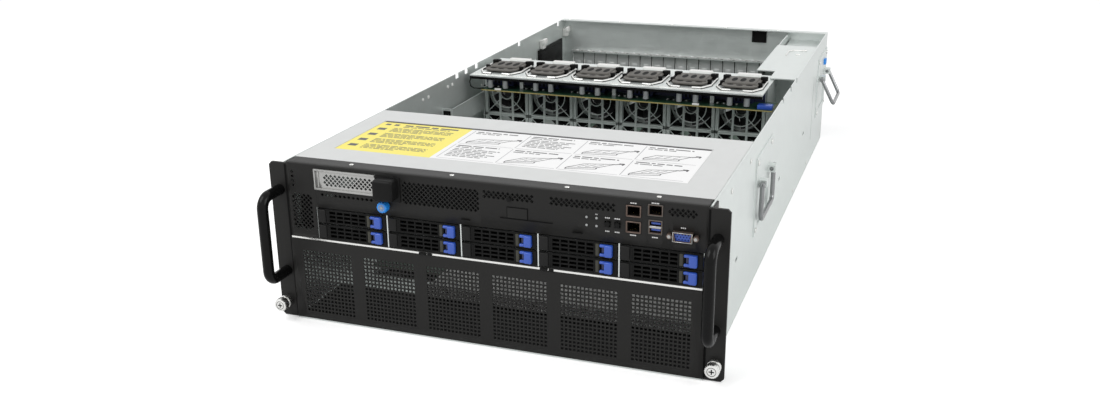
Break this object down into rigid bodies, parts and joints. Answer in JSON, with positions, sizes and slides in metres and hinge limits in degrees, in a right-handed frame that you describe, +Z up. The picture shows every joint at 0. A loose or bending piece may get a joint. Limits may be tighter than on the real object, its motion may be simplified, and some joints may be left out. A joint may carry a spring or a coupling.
{
  "type": "4u gpu server",
  "caption": "Rack server with a perforated front, hot-swap drive trays, a label on its front cover, a wall of fans and an open bay for accelerator cards at the rear.",
  "frame": {"origin": "middle of the underside of the base, which rests on a surface", "axes": "+X to the right across the front, +Y to the rear along the depth, +Z up"},
  "size_m": [0.494, 0.9473, 0.175],
  "materials": {
    "bare_steel": "satin zinc-coated sheet",
    "bright_steel": "bright",
    "grey_steel": "satin",
    "black_paint": "fine-textured powder coat",
    "black_gloss": "gloss",
    "black_plastic": "satin",
    "dark_plastic": "satin",
    "grey_plastic": "satin",
    "brown_plastic": "matt",
    "blue_plastic": "semi-gloss",
    "board": "solder-mask lacquer"
  },
  "bodies": {
    "chassis": {"base_tub": "bare_steel", "rear_panel": "bare_steel", "slot_covers": "bright_steel", "front_panel": "black_paint", "intake_grille": "black_paint", "rack_ears": "black_paint", "front_handles": "black_gloss", "drive_cage": "bare_steel", "port_shells": "bright_steel", "port_inserts": "blue_plastic", "bracket_retainer": "black_plastic", "fan_bridge": "bare_steel", "fan_frames": "grey_plastic", "fan_caps": "brown_plastic", "circuit_boards": "board", "handle_plates": "bare_steel"},
    "front_cover": {"front_cover": "bare_steel"},
    "power_button": {"power_button": "black_plastic"},
    "id_button": {"id_button": "black_plastic"},
    "retainer_knob": {"retainer_knob": "blue_plastic"},
    "rack_screw_left": {"rack_screw_left": "bright_steel"},
    "rack_screw_right": {"rack_screw_right": "bright_steel"},
    "fan_rotor_lower_1": {"fan_rotor_lower_1": "dark_plastic"},
    "fan_rotor_lower_2": {"fan_rotor_lower_2": "dark_plastic"},
    "fan_rotor_lower_3": {"fan_rotor_lower_3": "dark_plastic"},
    "fan_rotor_lower_4": {"fan_rotor_lower_4": "dark_plastic"},
    "fan_rotor_lower_5": {"fan_rotor_lower_5": "dark_plastic"},
    "fan_rotor_lower_6": {"fan_rotor_lower_6": "dark_plastic"},
    "fan_rotor_upper_1": {"fan_rotor_upper_1": "dark_plastic"},
    "fan_rotor_upper_2": {"fan_rotor_upper_2": "dark_plastic"},
    "fan_rotor_upper_3": {"fan_rotor_upper_3": "dark_plastic"},
    "fan_rotor_upper_4": {"fan_rotor_upper_4": "dark_plastic"},
    "fan_rotor_upper_5": {"fan_rotor_upper_5": "dark_plastic"},
    "fan_rotor_upper_6": {"fan_rotor_upper_6": "dark_plastic"},
    "drive_tray_1": {"drive_tray_1": "black_plastic"},
    "drive_tray_2": {"drive_tray_2": "black_plastic"},
    "drive_tray_3": {"drive_tray_3": "black_plastic"},
    "drive_tray_4": {"drive_tray_4": "black_plastic"},
    "drive_tray_5": {"drive_tray_5": "black_plastic"},
    "drive_tray_6": {"drive_tray_6": "black_plastic"},
    "drive_tray_7": {"drive_tray_7": "black_plastic"},
    "drive_tray_8": {"drive_tray_8": "black_plastic"},
    "drive_tray_9": {"drive_tray_9": "black_plastic"},
    "drive_tray_10": {"drive_tray_10": "black_plastic"},
    "tray_latch_1": {"tray_latch_1": "blue_plastic"},
    "tray_latch_2": {"tray_latch_2": "blue_plastic"},
    "tray_latch_3": {"tray_latch_3": "blue_plastic"},
    "tray_latch_4": {"tray_latch_4": "blue_plastic"},
    "tray_latch_5": {"tray_latch_5": "blue_plastic"},
    "tray_latch_6": {"tray_latch_6": "blue_plastic"},
    "tray_latch_7": {"tray_latch_7": "blue_plastic"},
    "tray_latch_8": {"tray_latch_8": "blue_plastic"},
    "tray_latch_9": {"tray_latch_9": "blue_plastic"},
    "tray_latch_10": {"tray_latch_10": "blue_plastic"},
    "lift_bail_left_front": {"lift_bail_left_front": "grey_steel"},
    "lift_bail_left_rear": {"lift_bail_left_rear": "grey_steel"},
    "lift_bail_right_front": {"lift_bail_right_front": "grey_steel"},
    "lift_bail_right_rear": {"lift_bail_right_rear": "grey_steel"},
    "power_supply_1": {"power_supply_1": "bare_steel"},
    "power_supply_2": {"power_supply_2": "bare_steel"}
  },
  "joints": [
    {"name": "cover_slide", "type": "slide", "parent": "chassis", "child": "front_cover", "axis": [0, 1, 0], "range_m": [0, 0.2]},
    {"name": "tray_1_slide", "type": "slide", "parent": "chassis", "child": "drive_tray_1", "axis": [0, -1, 0], "range_m": [0, 0.1]},
    {"name": "latch_1_press", "type": "slide", "parent": "drive_tray_1", "child": "tray_latch_1", "axis": [0, 1, 0], "range_m": [0, 0.002], "stiffness_N_per_m": 400},
    {"name": "tray_2_slide", "type": "slide", "parent": "chassis", "child": "drive_tray_2", "axis": [0, -1, 0], "range_m": [0, 0.1]},
    {"name": "latch_2_press", "type": "slide", "parent": "drive_tray_2", "child": "tray_latch_2", "axis": [0, 1, 0], "range_m": [0, 0.002], "stiffness_N_per_m": 400},
    {"name": "tray_3_slide", "type": "slide", "parent": "chassis", "child": "drive_tray_3", "axis": [0, -1, 0], "range_m": [0, 0.1]},
    {"name": "latch_3_press", "type": "slide", "parent": "drive_tray_3", "child": "tray_latch_3", "axis": [0, 1, 0], "range_m": [0, 0.002], "stiffness_N_per_m": 400},
    {"name": "tray_4_slide", "type": "slide", "parent": "chassis", "child": "drive_tray_4", "axis": [0, -1, 0], "range_m": [0, 0.1]},
    {"name": "latch_4_press", "type": "slide", "parent": "drive_tray_4", "child": "tray_latch_4", "axis": [0, 1, 0], "range_m": [0, 0.002], "stiffness_N_per_m": 400},
    {"name": "tray_5_slide", "type": "slide", "parent": "chassis", "child": "drive_tray_5", "axis": [0, -1, 0], "range_m": [0, 0.1]},
    {"name": "latch_5_press", "type": "slide", "parent": "drive_tray_5", "child": "tray_latch_5", "axis": [0, 1, 0], "range_m": [0, 0.002], "stiffness_N_per_m": 400},
    {"name": "tray_6_slide", "type": "slide", "parent": "chassis", "child": "drive_tray_6", "axis": [0, -1, 0], "range_m": [0, 0.1]},
    {"name": "latch_6_press", "type": "slide", "parent": "drive_tray_6", "child": "tray_latch_6", "axis": [0, 1, 0], "range_m": [0, 0.002], "stiffness_N_per_m": 400},
    {"name": "tray_7_slide", "type": "slide", "parent": "chassis", "child": "drive_tray_7", "axis": [0, -1, 0], "range_m": [0, 0.1]},
    {"name": "latch_7_press", "type": "slide", "parent": "drive_tray_7", "child": "tray_latch_7", "axis": [0, 1, 0], "range_m": [0, 0.002], "stiffness_N_per_m": 400},
    {"name": "tray_8_slide", "type": "slide", "parent": "chassis", "child": "drive_tray_8", "axis": [0, -1, 0], "range_m": [0, 0.1]},
    {"name": "latch_8_press", "type": "slide", "parent": "drive_tray_8", "child": "tray_latch_8", "axis": [0, 1, 0], "range_m": [0, 0.002], "stiffness_N_per_m": 400},
    {"name": "tray_9_slide", "type": "slide", "parent": "chassis", "child": "drive_tray_9", "axis": [0, -1, 0], "range_m": [0, 0.1]},
    {"name": "latch_9_press", "type": "slide", "parent": "drive_tray_9", "child": "tray_latch_9", "axis": [0, 1, 0], "range_m": [0, 0.002], "stiffness_N_per_m": 400},
    {"name": "tray_10_slide", "type": "slide", "parent": "chassis", "child": "drive_tray_10", "axis": [0, -1, 0], "range_m": [0, 0.1]},
    {"name": "latch_10_press", "type": "slide", "parent": "drive_tray_10", "child": "tray_latch_10", "axis": [0, 1, 0], "range_m": [0, 0.002], "stiffness_N_per_m": 400},
    {"name": "power_supply_1_slide", "type": "slide", "parent": "chassis", "child": "power_supply_1", "axis": [0, 1, 0], "range_m": [0, 0.2]},
    {"name": "power_supply_2_slide", "type": "slide", "parent": "chassis", "child": "power_supply_2", "axis": [0, 1, 0], "range_m": [0, 0.2]},
    {"name": "power_button_press", "type": "slide", "parent": "chassis", "child": "power_button", "axis": [0, 1, 0], "range_m": [0, 0.001], "stiffness_N_per_m": 300},
    {"name": "id_button_press", "type": "slide", "parent": "chassis", "child": "id_button", "axis": [0, 1, 0], "range_m": [0, 0.001], "stiffness_N_per_m": 300},
    {"name": "fan_rotor_lower_1_spin", "type": "hinge", "parent": "chassis", "child": "fan_rotor_lower_1", "pos_m": [-0.1775, 0.09, 0.07225], "axis": [0, 1, 0], "continuous": true},
    {"name": "fan_rotor_lower_2_spin", "type": "hinge", "parent": "chassis", "child": "fan_rotor_lower_2", "pos_m": [-0.1105, 0.09, 0.07225], "axis": [0, 1, 0], "continuous": true},
    {"name": "fan_rotor_lower_3_spin", "type": "hinge", "parent": "chassis", "child": "fan_rotor_lower_3", "pos_m": [-0.0435, 0.09, 0.07225], "axis": [0, 1, 0], "continuous": true},
    {"name": "fan_rotor_lower_4_spin", "type": "hinge", "parent": "chassis", "child": "fan_rotor_lower_4", "pos_m": [0.0235, 0.09, 0.07225], "axis": [0, 1, 0], "continuous": true},
    {"name": "fan_rotor_lower_5_spin", "type": "hinge", "parent": "chassis", "child": "fan_rotor_lower_5", "pos_m": [0.0905, 0.09, 0.07225], "axis": [0, 1, 0], "continuous": true},
    {"name": "fan_rotor_lower_6_spin", "type": "hinge", "parent": "chassis", "child": "fan_rotor_lower_6", "pos_m": [0.1575, 0.09, 0.07225], "axis": [0, 1, 0], "continuous": true},
    {"name": "fan_rotor_upper_1_spin", "type": "hinge", "parent": "chassis", "child": "fan_rotor_upper_1", "pos_m": [-0.1775, 0.09, 0.13475], "axis": [0, 1, 0], "continuous": true},
    {"name": "fan_rotor_upper_2_spin", "type": "hinge", "parent": "chassis", "child": "fan_rotor_upper_2", "pos_m": [-0.1105, 0.09, 0.13475], "axis": [0, 1, 0], "continuous": true},
    {"name": "fan_rotor_upper_3_spin", "type": "hinge", "parent": "chassis", "child": "fan_rotor_upper_3", "pos_m": [-0.0435, 0.09, 0.13475], "axis": [0, 1, 0], "continuous": true},
    {"name": "fan_rotor_upper_4_spin", "type": "hinge", "parent": "chassis", "child": "fan_rotor_upper_4", "pos_m": [0.0235, 0.09, 0.13475], "axis": [0, 1, 0], "continuous": true},
    {"name": "fan_rotor_upper_5_spin", "type": "hinge", "parent": "chassis", "child": "fan_rotor_upper_5", "pos_m": [0.0905, 0.09, 0.13475], "axis": [0, 1, 0], "continuous": true},
    {"name": "fan_rotor_upper_6_spin", "type": "hinge", "parent": "chassis", "child": "fan_rotor_upper_6", "pos_m": [0.1575, 0.09, 0.13475], "axis": [0, 1, 0], "continuous": true},
    {"name": "rack_screw_left_turn", "type": "hinge", "parent": "chassis", "child": "rack_screw_left", "pos_m": [-0.23255, -0.44, 0.0185], "axis": [0, 1, 0], "continuous": true},
    {"name": "rack_screw_right_turn", "type": "hinge", "parent": "chassis", "child": "rack_screw_right", "pos_m": [0.23255, -0.44, 0.0185], "axis": [0, 1, 0], "continuous": true},
    {"name": "retainer_knob_turn", "type": "hinge", "parent": "chassis", "child": "retainer_knob", "pos_m": [-0.108, -0.44, 0.1394], "axis": [0, 1, 0], "continuous": true},
    {"name": "lift_bail_left_front_swing", "type": "hinge", "parent": "chassis", "child": "lift_bail_left_front", "pos_m": [-0.23, -0.155, 0.118], "axis": [0, 1, 0], "range_deg": [0, 90]},
    {"name": "lift_bail_left_rear_swing", "type": "hinge", "parent": "chassis", "child": "lift_bail_left_rear", "pos_m": [-0.23, 0.386, 0.118], "axis": [0, 1, 0], "range_deg": [0, 90]},
    {"name": "lift_bail_right_front_swing", "type": "hinge", "parent": "chassis", "child": "lift_bail_right_front", "pos_m": [0.23, -0.155, 0.118], "axis": [0, -1, 0], "range_deg": [0, 90]},
    {"name": "lift_bail_right_rear_swing", "type": "hinge", "parent": "chassis", "child": "lift_bail_right_rear", "pos_m": [0.23, 0.386, 0.118], "axis": [0, -1, 0], "range_deg": [-27, 63]}
  ]
}
